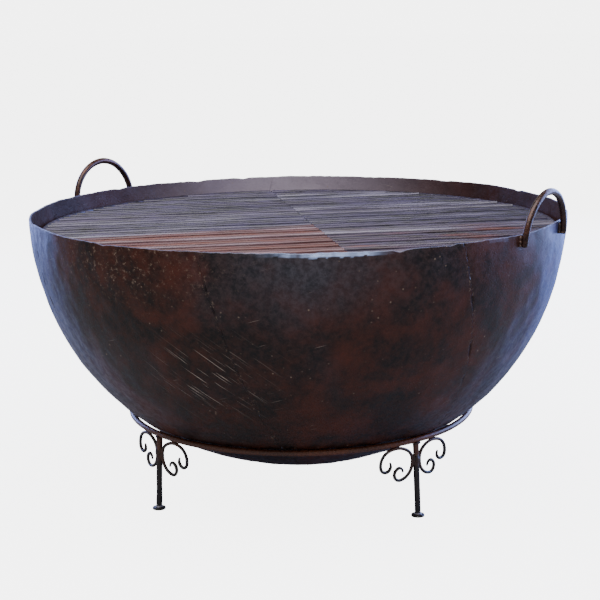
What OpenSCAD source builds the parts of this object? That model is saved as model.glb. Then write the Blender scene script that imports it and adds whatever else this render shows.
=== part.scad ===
// Fire pit with grate: a bowl of hammered plates, two half-moon grates, and a ring stand with scrolls.
// Millimetres, +Z up. The origin is on the ground, under the middle of the bowl; -Y is the front.
// A "turn" is in degrees round the bowl from the front, anticlockwise seen from above.

/* [Bowl] */
// Diameter of the bowl across the outside of its rim
bowl_d = 1000; // [800:5:1200]
// Depth of the bowl, from its rim to the underside of its bottom
bowl_depth = 467; // [385:1:560]
// Thickness of the bowl's plates
plate_t = 4; // [2.5:0.5:6]
// How long the side stays upright below the rim: 2 is an ellipse, more is fuller
side_power = 2.43; // [2.2:0.01:2.6]
// How round the bottom is: 2 is an ellipse, less is more pointed
bottom_power = 1.9; // [1.8:0.01:2.2]
// Diameter of the dished plate that closes the bottom
base_d = 360; // [260:5:440]
// Number of plates round the side
plate_count = 7; // [6:1:10]
// Turn of the first seam, at the level where the seams cross their radius
seam_turn = -8.7; // [-25:0.1:25]
// How far each seam leans from upright
seam_lean = 15.4; // [0:0.1:20]
// Height of the level where the seams cross their radius, below the rim
seam_cross_drop = 273; // [200:1:330]

/* [Handles] */
// Diameter of the handles' round bar
handle_bar_d = 12; // [8:0.5:16]
// Distance between a handle's two feet, centre to centre
handle_span = 162; // [140:1:240]
// Height of a handle's top above its feet, to the middle of the bar
handle_rise = 84; // [75:1:120]
// How far below the rim the feet end
handle_foot_drop = 22; // [16:1:40]
// Turn of the right handle
handle_right_turn = 59; // [50:0.5:70]
// Turn of the left handle
handle_left_turn = -124; // [-130:0.5:-110]
// How far the right handle leans outwards
handle_right_lean = 5; // [0:0.5:10]
// How far the left handle leans outwards
handle_left_lean = 4; // [0:0.5:10]

/* [Grate] */
// Diameter of the grate's round bars
grate_bar_d = 10; // [6:0.5:12]
// Distance from one bar of the grate to the next
grate_pitch = 25; // [18:0.5:40]
// Distance from the rim down to the top of the grate
grate_drop = 28; // [20:1:60]
// Room between the grate and the wall of the bowl
grate_room = 10; // [9:0.5:20]
// Gap between the two halves of the grate
grate_gap = 2; // [2:0.5:10]
// How far the gap lies from the middle of the bowl, along the bars
gap_offset = 24; // [-60:1:60]
// Turn of the bars: 0 lays them from left to right
bar_turn = 12; // [-30:0.5:30]
// Place of the cross bar under each half, from the middle of the bowl
cross_bar_place = 250; // [180:1:320]

/* [Grate lugs] */
// Width of the lugs that the grate rests on
lug_w = 30; // [20:1:50]
// Thickness of the lugs
lug_t = 6; // [4:0.5:10]
// How far the lugs reach in past the middle of the grate's rim bar
lug_overlap = 10; // [6:1:20]
// Turn from the middle lug of each half to the lugs on either side of it
lug_spread = 75; // [60:1:78]

/* [Stand] */
// Diameter of the stand's ring, to the middle of its bar
ring_d = 652; // [520:1:720]
// Diameter of the ring's round bar
ring_bar_d = 11; // [8:0.5:16]
// Height from the ground to the underside of the ring
leg_h = 135; // [120:1:200]
// Diameter of the legs
leg_d = 11; // [8:0.5:16]
// Number of legs
leg_count = 4; // [3:1:6]
// Turn of the first leg
leg_turn = 40; // [20:0.5:70]
// How far the legs lean outwards towards their feet
leg_splay = 2.5; // [0:0.5:6]
// Diameter of the foot discs
foot_d = 24; // [18:0.5:40]
// Thickness of the foot discs
foot_t = 4; // [3:0.5:8]
// Diameter of the scrolls' round bar
scroll_bar_d = 6; // [5:0.5:8]
// Height of each scroll
scroll_h = 66; // [50:1:80]
// Thickness of a scroll's drawn-out tips
scroll_tip_d = 3.5; // [2:0.5:5]

/* [Fits] */
// Gap where a loose piece rests on another
rest_gap = 0.3; // [0.2:0.05:0.5]
// How deep a welded bar sinks into what it is welded to
weld_bite = 0.5; // [0.3:0.1:1]

/* [Hidden] */
$fn = 64;
GRATE_SIDES = ["left", "right"];
LUGS = 6;

// The bowl's outside, as a curve of (radius, height above the rim), for an angle from 0 at the rim to
// 90 at the bottom: (radius / R) to the side power + (depth / D) to the bottom power = 1.
bowl_r = bowl_d / 2;
function wall_point(a) =
    [bowl_r * pow(cos(a), 2 / side_power), -bowl_depth * pow(sin(a), 2 / bottom_power)];
// The direction straight out of the wall there, which is the slope of that sum
function wall_slope(a) =
    [side_power * pow(wall_point(a)[0] / bowl_r, side_power - 1) / bowl_r,
     -bottom_power * pow(-wall_point(a)[1] / bowl_depth, bottom_power - 1) / bowl_depth];
function wall_offset(a, out) = wall_point(a) + out * wall_slope(a) / norm(wall_slope(a));
// The outside's radius at a depth below the rim
function radius_at(drop) = bowl_r * pow(1 - pow(drop / bowl_depth, bottom_power), 1 / side_power);

// The stand: its ring's middle, and the legs up to it
ring_r = ring_d / 2;
ring_z = leg_h + ring_bar_d / 2;
// How far out of the ring's circle a leg is at a height
function leg_out(z) = (ring_z - z) * tan(leg_splay);
// The bowl rests where a bar's radius and the gap away from its wall comes to the ring's radius
seat_out = ring_bar_d / 2 + rest_gap;
function seat_angle(low = 0, high = 90, tries = 40) =
    tries == 0 ? low
    : wall_offset((low + high) / 2, seat_out)[0] > ring_r
        ? seat_angle((low + high) / 2, high, tries - 1)
        : seat_angle(low, (low + high) / 2, tries - 1);
rim_z = ring_z - wall_offset(seat_angle(), seat_out)[1];

// The angles of the wall's curve where the base plate starts, and the steps it is drawn in
base_angle = acos(pow(base_d / bowl_d, side_power / 2));
SIDE_STEPS = 20;
BASE_STEPS = 6;
function curve(a, b, steps, out) = [for (i = [0:steps]) wall_offset(a + (b - a) * i / steps, out)];
function backwards(list) = [for (i = [len(list) - 1:-1:0]) list[i]];
FAR = 2 * bowl_d;

// Handles: the circle through both feet and the top, and its plane outside the wall
handle_r = (pow(handle_span / 2, 2) + pow(handle_rise, 2)) / (2 * handle_rise);
handle_foot_angle = asin((handle_r - handle_rise) / handle_r);
handle_reach = radius_at(handle_foot_drop) + handle_bar_d / 2 - weld_bite;
handle_plane = sqrt(pow(handle_reach, 2) - pow(handle_span / 2, 2));

// Grate: the bars end at the rim bar, and the edge bar and the cross bar of each half lie under them
bars_z = rim_z - grate_drop - grate_bar_d / 2;
under_z = bars_z - grate_bar_d;
grate_rim_r = radius_at(rim_z - bars_z) - plate_t - grate_room - grate_bar_d / 2;
bars_each_side = floor((grate_rim_r - 2 * grate_bar_d) / grate_pitch);
lug_z = bars_z - grate_bar_d / 2 - rest_gap - lug_t;

// Scrolls: arcs of [radius, degrees] for a scroll of SCROLL_UNIT height, from where it is welded to the
// leg. The upper part bends over the top, which touches the ring, and the lower part bends under.
SCROLL_UNIT = 66;
scroll_k = (scroll_h - scroll_bar_d) / (SCROLL_UNIT - scroll_bar_d);
UPPER = [[24, 56], [45, 58], [25, 75], [11, 143], [9.5, 70]];
LOWER = [[50, 9], [29, 76], [11.5, 165], [8, 120]];
// A pose is [x, y, heading], and this one comes after a right-hand bend of a radius and an angle
function bent(pose, radius, turn) =
    [pose[0] + radius * (sin(pose[2]) - sin(pose[2] - turn)),
     pose[1] - radius * (cos(pose[2]) - cos(pose[2] - turn)),
     pose[2] - turn];
function pose_at(arcs, n) =
    n == 0 ? [0, 0, 90] : bent(pose_at(arcs, n - 1), scroll_k * arcs[n - 1][0], arcs[n - 1][1]);
// The poses along a chain of arcs, one about every BEND_STEP degrees, and the bar's radius at each
BEND_STEP = 17;
function arc_steps(arc) = ceil(arc[1] / BEND_STEP);
function poses(arcs) = concat(
    [for (n = [0:len(arcs) - 1], i = [0:arc_steps(arcs[n]) - 1])
        bent(pose_at(arcs, n), scroll_k * arcs[n][0], arcs[n][1] * i / arc_steps(arcs[n]))],
    [pose_at(arcs, len(arcs))]);
function bar_radius(arcs, i) =
    let (last = arc_steps(arcs[len(arcs) - 1]), past = i - (len(poses(arcs)) - 1 - last))
    (scroll_bar_d - (scroll_bar_d - scroll_tip_d) * max(0, past) / last) / 2;
// Where the upper part's top is, out from the weld and above it
upper_top = bent(pose_at(UPPER, 1), scroll_k * UPPER[1][0], 90 - UPPER[0][1]);
scroll_weld_u = leg_d / 2 + scroll_bar_d / 2;
scroll_weld_z = leg_h - scroll_bar_d / 2 - upper_top[1];
// The scroll swings in from the ring's tangent, so that its top is under the ring
scroll_reach = scroll_weld_u + upper_top[0];
scroll_swing = asin(scroll_reach / ring_d + leg_out(scroll_weld_z) / scroll_reach);

// ---- the bowl ----

// A ring or dish of wall between two angles of the curve, of the plates' thickness
module wall_between(a, b, steps)
    translate([0, 0, rim_z])
        rotate_extrude()
            polygon(concat(curve(a, b, steps, 0), backwards(curve(a, b, steps, -plate_t))));

// Everything inside the wall's outside (out = 0) or inside (out = -plate_t)
module bowl_blank(out)
    translate([0, 0, rim_z])
        rotate_extrude($fn = 256)
            polygon(concat(
                curve(0, base_angle, SIDE_STEPS, out),
                curve(base_angle, 90, BASE_STEPS, out),
                [[0, 0]]));

// Everything past a seam's plane, which leans back as it rises
module past_seam(turn)
    translate([0, 0, rim_z - seam_cross_drop])
        rotate([0, 0, turn])
            rotate([0, -seam_lean, 0])
                translate([0, -FAR / 2, -FAR / 2])
                    cube(FAR);

module side_plate(i)
    color("saddlebrown")
        difference() {
            intersection() {
                wall_between(0, base_angle, SIDE_STEPS);
                past_seam(seam_turn + (i - 1) * 360 / plate_count);
            }
            past_seam(seam_turn + i * 360 / plate_count);
        }

module base_plate()
    color("sienna")
        wall_between(base_angle, 90, BASE_STEPS);

module handle(turn, lean)
    color("peru")
        difference() {
            rotate([0, 0, turn])
                translate([0, -handle_plane, rim_z - handle_foot_drop])
                    rotate([lean, 0, 0])
                        translate([0, 0, handle_rise - handle_r])
                            rotate([90, 0, 0])
                                rotate([0, 0, handle_foot_angle])
                                    rotate_extrude(angle = 180 - 2 * handle_foot_angle)
                                        translate([handle_r, 0])
                                            circle(d = handle_bar_d);
            bowl_blank(0);
        }

// Lugs 1 to 3 carry the right half of the grate, 4 to 6 the left half
module grate_lug(i)
    color("dimgray")
        intersection() {
            rotate([0, 0, bar_turn + (i > 3 ? 180 : 0) + ((i - 1) % 3 - 1) * lug_spread])
                translate([grate_rim_r - lug_overlap, -lug_w / 2, lug_z])
                    cube([bowl_r, lug_w, lug_t]);
            bowl_blank(-plate_t);
        }

// ---- the grate: drawn with its bars along X, then turned ----

function half_sign(side) = side == "right" ? 1 : -1;
// The place along the bars of a half's straight edge
function edge_u(side) = gap_offset + half_sign(side) * grate_gap / 2;

// Half the length of a straight bar that stays within a radius, at a distance from the middle
function half_chord(radius, distance) = sqrt(pow(radius, 2) - pow(abs(distance) + grate_bar_d / 2, 2));

module grate_rim_ring()
    rotate_extrude()
        translate([grate_rim_r, 0])
            circle(d = grate_bar_d);

module grate_rim(side)
    color("dimgray")
        rotate([0, 0, bar_turn])
            translate([0, 0, bars_z])
                intersection() {
                    grate_rim_ring();
                    translate([edge_u(side) - (side == "right" ? 0 : FAR), -FAR / 2, -FAR / 2])
                        cube(FAR);
                }

// A straight bar under a half at a place along the bars, reaching under the rim bar at both ends
module grate_under_bar(u)
    color("gray")
        rotate([0, 0, bar_turn])
            translate([u, 0, under_z])
                rotate([90, 0, 0])
                    cylinder(d = grate_bar_d, h = 2 * half_chord(grate_rim_r, u), center = true);

module grate_edge_bar(side)
    grate_under_bar(edge_u(side) + half_sign(side) * grate_bar_d / 2);

module grate_cross_bar(side)
    grate_under_bar(half_sign(side) * cross_bar_place);

module grate_bars(side)
    color("slategray")
        rotate([0, 0, bar_turn])
            for (i = [-bars_each_side:bars_each_side]) {
                v = i * grate_pitch;
                length = half_chord(grate_rim_r - grate_bar_d / 2, v) - half_sign(side) * edge_u(side);
                translate([edge_u(side), v, bars_z])
                    rotate([0, 90 * half_sign(side), 0])
                        cylinder(d = grate_bar_d, h = length);
            }

// ---- the stand ----

module stand_ring()
    color("chocolate")
        translate([0, 0, ring_z])
            rotate_extrude()
                translate([ring_r, 0])
                    circle(d = ring_bar_d);

// Puts what is drawn round the origin where leg i is at a height, with +X along the ring and -Y outwards
module at_leg(i, z)
    rotate([0, 0, leg_turn + (i - 1) * 360 / leg_count])
        translate([0, -ring_r - leg_out(z), 0])
            children();

module leg(i)
    color("maroon")
        difference() {
            at_leg(i, 0)
                rotate([-leg_splay, 0, 0])
                    translate([0, 0, -leg_d])
                        cylinder(d = leg_d, h = leg_d + ring_z / cos(leg_splay));
            translate([-FAR / 2, -FAR / 2, foot_t - FAR])
                cube(FAR);
            stand_ring();
        }

module foot(i)
    color("black")
        at_leg(i, 0)
            cylinder(d = foot_d, h = foot_t);

// A ring of SIDES points round a pose, with one of them on the inside of the bend; flip mirrors it in X
SIDES = 10;
function ring_of(pose, radius, flip) =
    [for (k = [0:SIDES - 1])
        let (inward = radius * cos(360 * k / SIDES))
        [pose[0] + inward * sin(pose[2]),
         flip * (pose[1] - inward * cos(pose[2])),
         radius * sin(360 * k / SIDES)]];
function rings(arcs, flip) =
    [for (i = [0:len(poses(arcs)) - 1]) ring_of(poses(arcs)[i], bar_radius(arcs, i), flip)];

// The whole scroll in the XY plane: up and over from the weld, and down and under from it
module scroll_bar() {
    upper = backwards(rings(UPPER, 1));
    lower = rings(LOWER, -1);
    all = concat(upper, [for (i = [1:len(lower) - 1]) lower[i]]);
    last = len(all) - 1;
    sides = [for (i = [0:last - 1], k = [0:SIDES - 1])
        let (a = i * SIDES + k, b = i * SIDES + (k + 1) % SIDES)
        each [[a, b, a + SIDES], [b, b + SIDES, a + SIDES]]];
    ends = [[for (k = [SIDES - 1:-1:0]) k], [for (k = [0:SIDES - 1]) last * SIDES + k]];
    polyhedron([for (ring = all) each ring], concat(sides, ends));
}

module scroll(i, side)
    color("dimgray")
        at_leg(i, scroll_weld_z)
            mirror([side == "left" ? 1 : 0, 0, 0])
                rotate([0, 0, scroll_swing])
                    translate([scroll_weld_u, 0, scroll_weld_z])
                        rotate([90, 0, 0])
                            scroll_bar();

for (i = [1:plate_count])
    side_plate(i);
base_plate();
handle(handle_left_turn, handle_left_lean);  // handle_left
handle(handle_right_turn, handle_right_lean);  // handle_right
for (i = [1:LUGS])
    grate_lug(i);
for (s = GRATE_SIDES) {
    grate_rim(s);
    grate_edge_bar(s);
    grate_cross_bar(s);
    grate_bars(s);
}
stand_ring();
for (i = [1:leg_count]) {
    leg(i);
    foot(i);
    for (s = ["left", "right"])
        scroll(i, s);
}
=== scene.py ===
# %% [markdown]
# # A fire pit with a grate
#
# A fire pit is a deep bowl of thick sheet steel that stands in a low ring with four legs. Seven hammered
# plates and a dished bottom are welded into the bowl. Two half-moon grates lie on lugs inside it, and a loop
# handle is welded on at either side. The frame holds the plain shapes at their real places, and every cell
# below works out one kind of piece over it, in metres, with +Z up and -Y at the front.

import math
import bpy
import numpy as np
from mathutils import Matrix, Vector


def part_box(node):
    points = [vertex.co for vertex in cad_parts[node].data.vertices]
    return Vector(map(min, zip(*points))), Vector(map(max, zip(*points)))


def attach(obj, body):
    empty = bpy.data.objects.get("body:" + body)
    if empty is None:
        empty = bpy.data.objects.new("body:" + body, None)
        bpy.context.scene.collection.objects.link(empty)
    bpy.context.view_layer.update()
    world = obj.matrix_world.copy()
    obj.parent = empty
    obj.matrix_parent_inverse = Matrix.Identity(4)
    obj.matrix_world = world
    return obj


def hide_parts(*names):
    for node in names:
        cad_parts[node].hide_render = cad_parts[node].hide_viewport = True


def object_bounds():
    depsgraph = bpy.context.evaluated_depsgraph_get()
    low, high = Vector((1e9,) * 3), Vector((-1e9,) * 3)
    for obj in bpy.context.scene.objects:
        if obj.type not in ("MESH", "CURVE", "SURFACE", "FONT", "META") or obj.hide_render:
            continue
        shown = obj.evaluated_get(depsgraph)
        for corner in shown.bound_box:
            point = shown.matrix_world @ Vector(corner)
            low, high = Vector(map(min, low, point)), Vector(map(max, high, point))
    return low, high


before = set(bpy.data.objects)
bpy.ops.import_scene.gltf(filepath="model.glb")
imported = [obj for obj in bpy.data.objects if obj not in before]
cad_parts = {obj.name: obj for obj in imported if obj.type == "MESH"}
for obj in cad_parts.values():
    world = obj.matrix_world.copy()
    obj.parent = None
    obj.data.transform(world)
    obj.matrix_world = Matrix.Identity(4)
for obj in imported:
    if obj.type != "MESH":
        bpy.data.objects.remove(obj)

CAD_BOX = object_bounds()

# %% [markdown]
# ## Sizes
#
# The heights and radii come from the frame, so the pieces sit where the plain parts are. What a box can't
# tell, such as how full the bowl's side is and how its seams lean, is named here once.

# %% Sizes taken from the frame
def middle(node):
    """The middle of a node's box: half of its lowest corner plus its highest corner."""
    low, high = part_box(node)
    return (low + high) / 2


PLATES = 7
BOWL_RADIUS = (CAD_BOX[1].x - CAD_BOX[0].x) / 2
RIM_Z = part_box("side_plate_1")[1].z
BOTTOM_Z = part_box("base_plate")[0].z
DEPTH = RIM_Z - BOTTOM_Z
BASE_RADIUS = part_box("base_plate")[1].x
RING_Z = middle("stand_ring").z
RING_BAR = (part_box("stand_ring")[1].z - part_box("stand_ring")[0].z) / 2
RING_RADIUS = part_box("stand_ring")[1].x - RING_BAR
print("bowl", round(2 * BOWL_RADIUS, 3), "wide and", round(DEPTH, 3), "deep, rim at", round(RIM_Z, 3))

# %% Sizes that the boxes can't tell
PLATE = 0.004
SIDE_POWER = 2.43
BOTTOM_POWER = 1.9
SEAM_TURN = math.radians(-8.7)
SEAM_LEAN = math.radians(15.4)
SEAM_CROSS_Z = RIM_Z - 0.273
PLATE_TURN = 2 * math.pi / PLATES

# %% [markdown]
# ## Meshes from arrays
#
# A mesh can be made with operators, one vertex at a time, or from whole arrays. Arrays are used here,
# because a plate has tens of thousands of points and each is the value of the same formula. A grid of
# points gives its four-sided faces by the numbers of neighbouring points, and a fan closes a round end.

# %% Faces of a grid and a mesh from arrays
def grid_quads(rows, columns, round_rows=False, round_columns=False):
    """The faces of a grid of rows x columns points. A round direction joins its last points to its first."""
    r = np.arange(rows if round_rows else rows - 1)[:, None]
    c = np.arange(columns if round_columns else columns - 1)[None, :]
    r_next, c_next = (r + 1) % rows, (c + 1) % columns
    corners = [r * columns + c, r * columns + c_next, r_next * columns + c_next, r_next * columns + c]
    return np.stack(np.broadcast_arrays(*corners), -1).reshape(-1, 4)


def pole_fans(columns, last, pole, mirrored=False):
    """Triangles that close a stack of rings: from the point numbered pole to the first ring, and from the
    point after it to the ring that starts at last."""
    ring = np.arange(columns)
    after = (ring + 1) % columns
    fans = np.concatenate([np.stack([np.full(columns, pole), after, ring], -1),
                           np.stack([np.full(columns, pole + 1), last + ring, last + after], -1)])
    return fans[:, ::-1] if mirrored else fans


def make_piece(name, points, quads, triangles=None, flat=0, **attributes):
    """An object at the origin whose mesh has these points, quads and triangles, and a number per point for
    each named attribute. The last flat quads keep hard edges. The faces are turned outwards."""
    triangles = np.zeros((0, 3), int) if triangles is None else np.asarray(triangles)
    loops = np.concatenate([np.asarray(quads).ravel(), triangles.ravel()])
    counts = np.concatenate([np.full(len(quads), 4), np.full(len(triangles), 3)])
    mesh = bpy.data.meshes.new(name)
    mesh.vertices.add(len(points))
    mesh.vertices.foreach_set("co", np.asarray(points, np.float32).ravel())
    mesh.loops.add(len(loops))
    mesh.loops.foreach_set("vertex_index", loops.astype(np.int32))
    mesh.polygons.add(len(counts))
    mesh.polygons.foreach_set("loop_start", (np.cumsum(counts) - counts).astype(np.int32))
    smooth = np.ones(len(counts), bool)
    smooth[len(quads) - flat:len(quads)] = False
    mesh.polygons.foreach_set("use_smooth", smooth)
    mesh.update(calc_edges=True)
    for key, values in attributes.items():
        layer = mesh.attributes.new(key, "FLOAT", "POINT")
        layer.data.foreach_set("value", np.asarray(values, np.float32).ravel())
    if signed_volume(mesh) < 0:
        mesh.flip_normals()
    mesh.validate()
    piece = bpy.data.objects.new(name, mesh)
    bpy.context.scene.collection.objects.link(piece)
    return piece


def signed_volume(mesh):
    """Six times the volume inside, which is below zero where the faces point inwards."""
    mesh.calc_loop_triangles()
    corners = np.zeros(len(mesh.loop_triangles) * 3, np.int32)
    mesh.loop_triangles.foreach_get("vertices", corners)
    points = np.zeros(len(mesh.vertices) * 3, np.float32)
    mesh.vertices.foreach_get("co", points)
    a, b, c = points.reshape(-1, 3)[corners.reshape(-1, 3)].transpose(1, 0, 2)
    return float(np.einsum("ij,ij->", a, np.cross(b, c)))


print("a grid of 3 x 4 points has", len(grid_quads(3, 4)), "faces")

# %% [markdown]
# ## Uneven metal
#
# Beaten and rolled metal is never true. A smooth unevenness is the sum of a few waves in random directions,
# which is quick and needs no table. Hammer marks are shallow hollows: each point looks up its nearest mark
# in a jittered grid, and the hollow is a parabola round it.

# %% Waves and hammer marks as arrays
def waves(points, size, seed, count=9):
    """About -1 to 1: the mean of sines along random directions with a wavelength near size."""
    draw = np.random.default_rng(seed)
    directions = draw.normal(size=(count, points.shape[-1]))
    directions /= np.linalg.norm(directions, axis=1)[:, None]
    lengths = size * draw.uniform(0.65, 1.6, count)
    phases = draw.uniform(0, 2 * math.pi, count)
    angles = 2 * math.pi * (points @ directions.T) / lengths + phases
    return np.sin(angles).sum(-1) / math.sqrt(count)


def hammer_marks(u, v, size, seed):
    """-1 in the middle of a mark to 0 at its edge: the square of the distance to the nearest mark of a
    grid whose marks are moved at random, less one."""
    draw = np.random.default_rng(seed)
    jitter = draw.uniform(0, 1, (64, 64, 2))
    depth = draw.uniform(0.35, 1, (64, 64))
    cu, cv = np.floor(u / size).astype(int), np.floor(v / size).astype(int)
    nearest = np.full(u.shape, 9.0)
    strength = np.zeros(u.shape)
    for du in (-1, 0, 1):
        for dv in (-1, 0, 1):
            i, j = (cu + du) % 64, (cv + dv) % 64
            away_u = (cu + du + jitter[i, j, 0]) - u / size
            away_v = (cv + dv + jitter[i, j, 1]) - v / size
            distance = away_u ** 2 + away_v ** 2
            closer = distance < nearest
            nearest = np.where(closer, distance, nearest)
            strength = np.where(closer, depth[i, j], strength)
    return strength * (np.minimum(nearest / 0.5, 1) - 1)


def ramp(low, high, value):
    """0 below low, 1 above high, and a smooth S between them: 3 t squared minus 2 t cubed."""
    t = np.clip((value - low) / (high - low), 0, 1)
    return t * t * (3 - 2 * t)


print("waves run from", np.round(waves(np.random.default_rng(1).uniform(0, 1, (999, 3)), 0.1, 2).min(), 2))

# %% [markdown]
# ## Shader building
#
# Every finish here is one of steel: scale, rust, soot, rubbed edges and painted light over hammer marks.
# What the finishes
# share is made once as node groups, which put out masks and heights, and each material mixes its own colours
# with them. A few short helpers keep the node code readable.

# %% Helpers for nodes
def add_node(tree, kind, inputs=None, **settings):
    """A node of a kind. Inputs are numbers, colours or sockets to link, by name or number."""
    made = tree.nodes.new(kind)
    for key, value in settings.items():
        setattr(made, key, value)
    for key, value in (inputs or {}).items():
        if isinstance(value, bpy.types.NodeSocket):
            tree.links.new(value, made.inputs[key])
        else:
            made.inputs[key].default_value = value
    return made


def sum_of(tree, operation, a, b=0.0, c=0.0):
    """One step of arithmetic on numbers or sockets."""
    return add_node(tree, "ShaderNodeMath", {0: a, 1: b, 2: c}, operation=operation).outputs[0]


def spread(tree, value, low, high, start=0.0, end=1.0):
    """The value carried from low..high to start..end along a smooth S."""
    inputs = {0: value, 1: low, 2: high, 3: start, 4: end}
    return add_node(tree, "ShaderNodeMapRange", inputs, interpolation_type="SMOOTHSTEP").outputs[0]


def mixed(tree, amount, a, b, way="MIX"):
    """Colour a changed towards colour b by an amount."""
    inputs = {0: amount, 6: a, 7: b}
    return add_node(tree, "ShaderNodeMix", inputs, data_type="RGBA", blend_type=way).outputs[2]


def cloud(tree, where, size, detail=4.0, rough=0.55, warp=0.0):
    """Cloudy noise from 0 to 1 whose lumps are about a size across."""
    inputs = {"Vector": where, "Scale": 1 / size, "Detail": detail, "Roughness": rough, "Distortion": warp}
    return add_node(tree, "ShaderNodeTexNoise", inputs).outputs[0]


def stretched(tree, where, scale, turn=(0.0, 0.0, 0.0), move=(0.0, 0.0, 0.0)):
    """Coordinates moved, turned and scaled."""
    inputs = {"Vector": where, "Location": move, "Rotation": turn, "Scale": scale}
    return add_node(tree, "ShaderNodeMapping", inputs, vector_type="POINT").outputs[0]


def moved(tree, where, *move):
    """Coordinates moved only."""
    return stretched(tree, where, (1, 1, 1), move=move)


def carried(tree, name):
    """The number that a piece's points carry under a name, 0 where they carry none."""
    return add_node(tree, "ShaderNodeAttribute", attribute_name=name).outputs["Fac"]


def sized_place(tree, start):
    """A group's Where input scaled by its Size input."""
    inputs = {0: start.outputs["Where"], "Scale": start.outputs["Size"]}
    return add_node(tree, "ShaderNodeVectorMath", inputs, operation="SCALE").outputs[0]


def rgb(red, green, blue):
    """A colour as a shader wants it, with full cover."""
    return (red, green, blue, 1.0)


def new_group(name, inputs, outputs):
    """An empty node group with named sockets: inputs are (name, kind, value) and outputs are names of
    numbers. It gives the tree, its input node and its output node."""
    tree = bpy.data.node_groups.new(name, "ShaderNodeTree")
    for title, kind, value in inputs:
        socket = tree.interface.new_socket(title, in_out="INPUT", socket_type=kind)
        if value is not None:
            socket.default_value = value
    for title in outputs:
        tree.interface.new_socket(title, in_out="OUTPUT", socket_type="NodeSocketFloat")
    return tree, tree.nodes.new("NodeGroupInput"), tree.nodes.new("NodeGroupOutput")


def use_group(tree, group, inputs):
    """A group placed in a tree with its own values."""
    return add_node(tree, "ShaderNodeGroup", inputs, node_tree=group)


VECTOR, NUMBER = "NodeSocketVector", "NodeSocketFloat"
print("node helpers ready")

# %% [markdown]
# ### Patina
#
# Steel that has stood outside and been oiled is dark, with reddish clouds where rust shows through, a
# blue-grey bloom where the scale is polished, and a fine leathery mottle over everything. One group puts out
# these masks from the place on the piece, so the same clouds run on from plate to plate.

# %% The patina group
def patina_group():
    """Red, Bloom and Mottle masks and Streaks that run down, from noise of four sizes."""
    tree, start, end = new_group(
        "patina", [("Where", VECTOR, None), ("Size", NUMBER, 1.0)], ["Red", "Bloom", "Mottle", "Streaks"])
    where = sized_place(tree, start)
    big = cloud(tree, where, 0.16, 5.0, 0.6, 0.6)
    middle_size = cloud(tree, moved(tree, where, 3.1, 1.7, 0.4), 0.045, 4.0, 0.6, 0.3)
    small = cloud(tree, moved(tree, where, 0.3, 5.2, 2.4), 0.010, 6.0, 0.72)
    other = cloud(tree, moved(tree, where, 7.3, 2.2, 4.4), 0.22, 4.0, 0.5, 0.4)
    running = cloud(tree, stretched(tree, where, (1, 1, 0.16)), 0.03, 4.0, 0.6)
    both = sum_of(tree, "MULTIPLY_ADD", middle_size, 0.45, sum_of(tree, "MULTIPLY", big, 0.75))
    tree.links.new(spread(tree, both, 0.50, 0.78), end.inputs["Red"])
    tree.links.new(spread(tree, other, 0.46, 0.68), end.inputs["Bloom"])
    tree.links.new(spread(tree, small, 0.36, 0.66), end.inputs["Mottle"])
    tree.links.new(spread(tree, running, 0.48, 0.74), end.inputs["Streaks"])
    return tree


PATINA = patina_group()
print("patina group:", len(PATINA.nodes), "nodes")

# %% [markdown]
# ### Grain, scuffs and specks
#
# The skin of the steel is pitted and grained, which is a height for bump. Scuffs are long thin noise: the
# coordinates are turned along the scuff and squeezed, so that a lump of noise becomes a line. Specks are the
# middles of Voronoi cells, kept only where a second noise allows them.

# %% The grain, scuff and speck groups
def grain_group():
    """Height of the skin: leathery lumps, fine grain and small pits, added up in millimetres."""
    tree, start, end = new_group("steel grain", [("Where", VECTOR, None), ("Size", NUMBER, 1.0)], ["Height"])
    where = sized_place(tree, start)
    lumps = cloud(tree, where, 0.014, 3.0, 0.5)
    fine = cloud(tree, where, 0.003, 4.0, 0.6)
    cells = add_node(tree, "ShaderNodeTexVoronoi", {"Vector": where, "Scale": 170.0, "Smoothness": 0.6},
                     feature="SMOOTH_F1").outputs["Distance"]
    pits = spread(tree, cells, 0.0, 0.35)
    total = sum_of(tree, "MULTIPLY_ADD", lumps, 0.55, sum_of(tree, "MULTIPLY", fine, 0.22))
    total = sum_of(tree, "MULTIPLY_ADD", pits, 0.22, total)
    tree.links.new(total, end.inputs["Height"])
    return tree


def scuff_group():
    """Mask of thin scuffs: noise on coordinates turned by Angle and squeezed to Length by Width."""
    tree, start, end = new_group(
        "scuffs",
        [("Where", VECTOR, None), ("Angle", NUMBER, 0.0), ("Length", NUMBER, 0.08), ("Width", NUMBER, 0.002),
         ("Amount", NUMBER, 0.3)], ["Mask"])
    turned = add_node(tree, "ShaderNodeVectorRotate",
                      {"Vector": start.outputs["Where"], "Angle": start.outputs["Angle"]},
                      rotation_type="Z_AXIS").outputs[0]
    parts = add_node(tree, "ShaderNodeSeparateXYZ", {0: turned})
    along = sum_of(tree, "DIVIDE", parts.outputs[0], start.outputs["Length"])
    across = sum_of(tree, "DIVIDE", parts.outputs[1], start.outputs["Width"])
    place = add_node(tree, "ShaderNodeCombineXYZ", {0: along, 1: across, 2: 0.0}).outputs[0]
    lines = add_node(tree, "ShaderNodeTexNoise", {"Vector": place, "Scale": 1.0, "Detail": 2.0,
                                                  "Roughness": 0.4, "Distortion": 0.15}).outputs[0]
    low = sum_of(tree, "SUBTRACT", 0.86, sum_of(tree, "MULTIPLY", start.outputs["Amount"], 0.3))
    mask = spread(tree, lines, low, sum_of(tree, "ADD", low, 0.07))
    tree.links.new(mask, end.inputs["Mask"])
    return tree


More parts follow.
